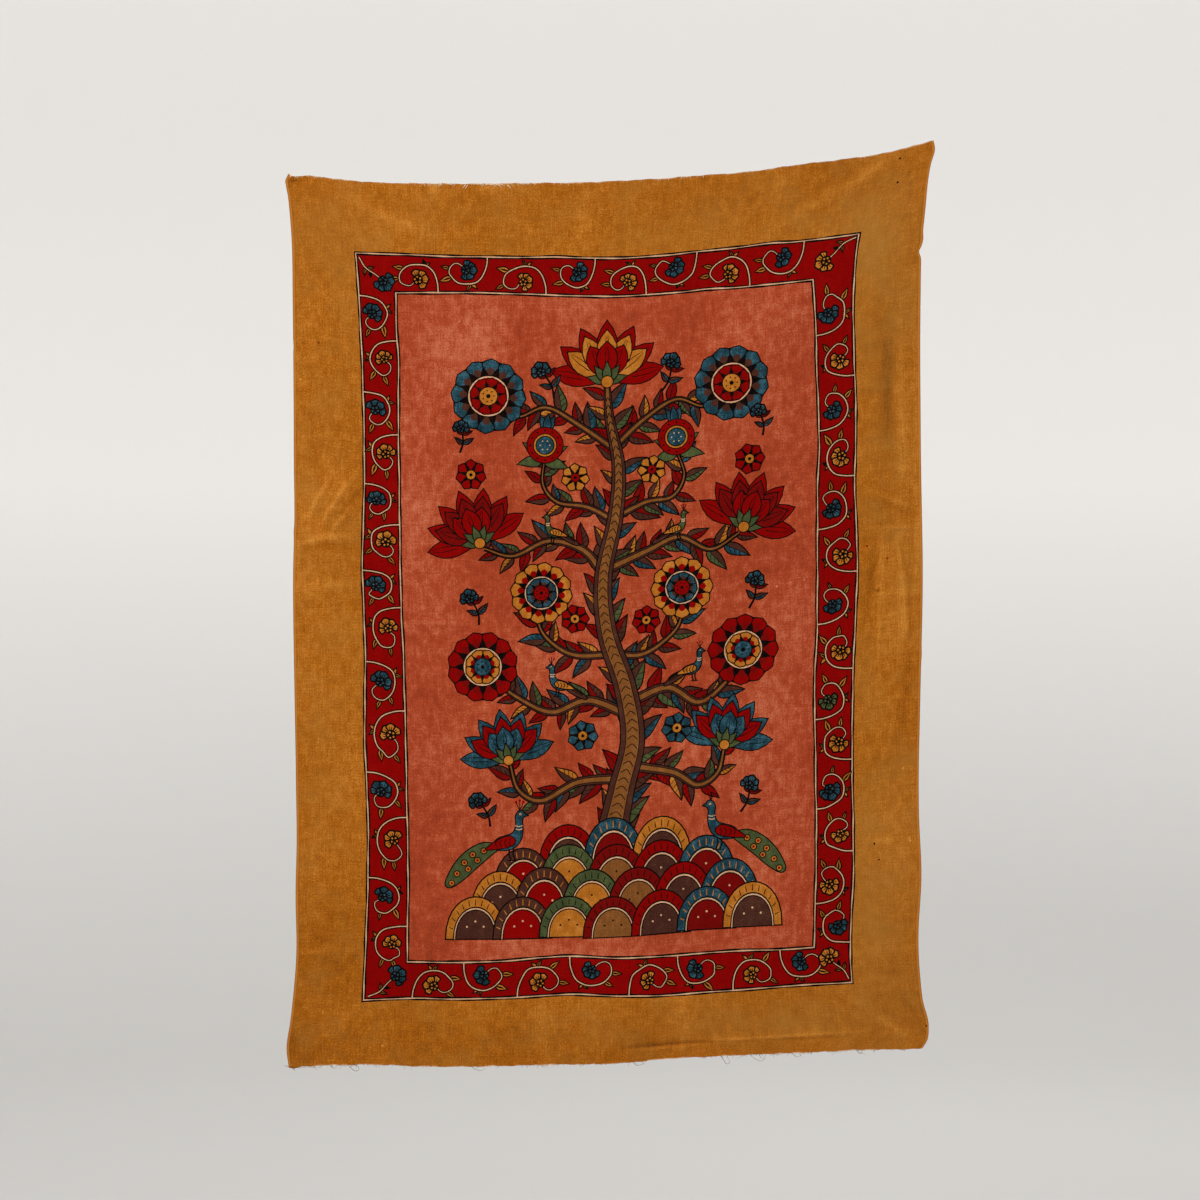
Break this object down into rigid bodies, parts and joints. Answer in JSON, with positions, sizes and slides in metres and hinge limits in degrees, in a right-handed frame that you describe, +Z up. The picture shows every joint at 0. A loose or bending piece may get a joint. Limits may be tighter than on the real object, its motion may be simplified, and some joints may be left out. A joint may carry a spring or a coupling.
{
  "type": "kalamkari panel",
  "caption": "Painted cotton panel hanging upright from its corners, with bowed edges and shallow folds.",
  "frame": {"origin": "on the plane that the cloth hangs against, behind the middle of its top edge", "axes": "+Z up along the panel's length, +X to the right across its width, painted face looking along -Y"},
  "size_m": [1.1672, 0.0156, 1.668],
  "materials": {
    "dyed_cotton": "plain-woven cotton, hand dyed and pen drawn, matt"
  },
  "bodies": {
    "root": {"cloth": "dyed_cotton"}
  },
  "joints": []
}
